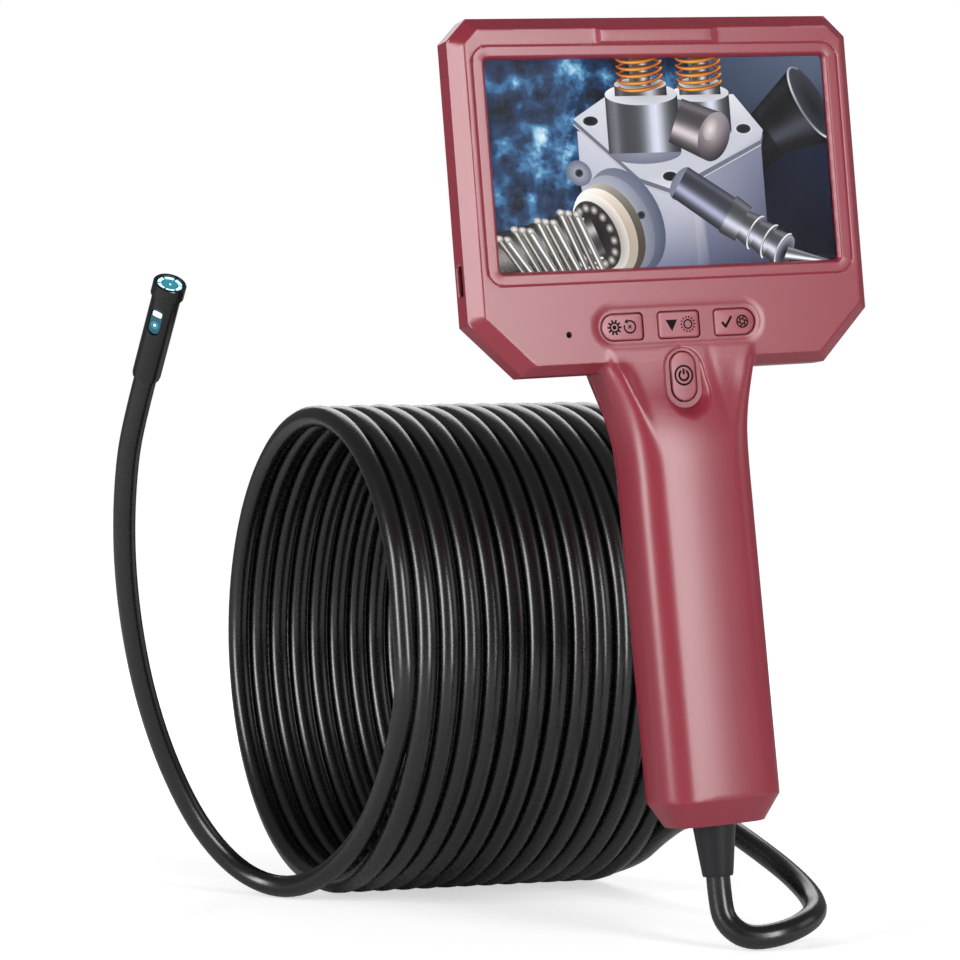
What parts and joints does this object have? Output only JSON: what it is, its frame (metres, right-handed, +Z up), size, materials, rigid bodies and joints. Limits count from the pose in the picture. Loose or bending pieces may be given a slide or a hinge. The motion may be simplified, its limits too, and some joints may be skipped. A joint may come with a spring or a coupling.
{
  "type": "inspection camera",
  "caption": "Handheld inspection camera: a pistol-grip handset with a screen and keys, and a coiled semi-rigid cable ending in a lit camera probe.",
  "frame": {"origin": "middle of the handset's grip, on its long axis, where a hand holds it", "axes": "+Z up, -Y out of the screen side, X across the handset; the handset leans 2.5 degrees back and 3.8 degrees towards -X as it is held"},
  "size_m": [0.2032, 0.2606, 0.2812],
  "materials": {
    "red_shell": "satin dusty rose-red ABS",
    "red_keys": "satin, a little lighter than the shell",
    "cover_glass": "clear polished",
    "screen_panel": "display face",
    "bright_steel": "plain bright steel",
    "circuit_board": "green solder mask",
    "black_resin": "moulded black resin",
    "cell_wrap": "shrink-wrapped cell",
    "grey_plastic": "moulded",
    "wire_jacket": "smooth PVC",
    "black_cable": "smooth semi-gloss PVC jacket",
    "black_rubber": "satin moulded rubber",
    "black_metal": "satin black anodised",
    "white_led": "clear white LED lens"
  },
  "bodies": {
    "handset": {"front_housing": "red_shell", "rear_housing": "red_shell", "housing_screws": "bright_steel", "screen_glass": "cover_glass", "display_panel": "screen_panel", "display_frame": "bright_steel", "main_board": "circuit_board", "board_screws": "bright_steel", "board_chips": "black_resin", "key_board": "circuit_board", "tact_switches": "black_resin", "usb_c_socket": "bright_steel", "card_socket": "bright_steel", "microphone": "bright_steel", "battery_cell": "cell_wrap", "battery_cradle": "grey_plastic", "battery_wires": "wire_jacket", "battery_plug": "black_resin", "signal_wire": "wire_jacket", "camera_plug": "black_resin", "cable_clamp": "grey_plastic", "clamp_screws": "bright_steel", "cable_tail": "black_cable", "strain_relief": "black_rubber", "cord_loop": "black_cable", "cord_coil": "black_cable", "cord_lead": "black_cable", "probe_ferrule": "black_metal", "probe_barrel": "black_metal", "probe_collar": "black_metal", "front_window": "cover_glass", "led_board": "circuit_board", "front_leds": "white_led", "front_camera": "black_resin", "probe_board": "circuit_board", "side_window": "cover_glass", "side_camera": "black_resin", "side_led": "white_led"},
    "menu_key": {"menu_button": "red_keys", "menu_plunger": "black_resin"},
    "down_key": {"down_button": "red_keys", "down_plunger": "black_resin"},
    "ok_key": {"ok_button": "red_keys", "ok_plunger": "black_resin"},
    "power_key": {"power_button": "red_keys", "power_plunger": "black_resin"},
    "memory_card": {"memory_card": "black_resin"}
  },
  "joints": [
    {"name": "menu_press", "type": "slide", "parent": "handset", "child": "menu_key", "axis": [0, 0.999, -0.0436], "range_m": [0, 0.0006], "stiffness_N_per_m": 400},
    {"name": "down_press", "type": "slide", "parent": "handset", "child": "down_key", "axis": [0, 0.999, -0.0436], "range_m": [0, 0.0006], "stiffness_N_per_m": 400},
    {"name": "ok_press", "type": "slide", "parent": "handset", "child": "ok_key", "axis": [0, 0.999, -0.0436], "range_m": [0, 0.0006], "stiffness_N_per_m": 400},
    {"name": "power_press", "type": "slide", "parent": "handset", "child": "power_key", "axis": [0, 0.999, -0.0436], "range_m": [0, 0.0006], "stiffness_N_per_m": 400},
    {"name": "memory_card_slide", "type": "slide", "parent": "handset", "child": "memory_card", "axis": [0.9978, 0.0029, 0.0662], "range_m": [0, 0.02]}
  ]
}
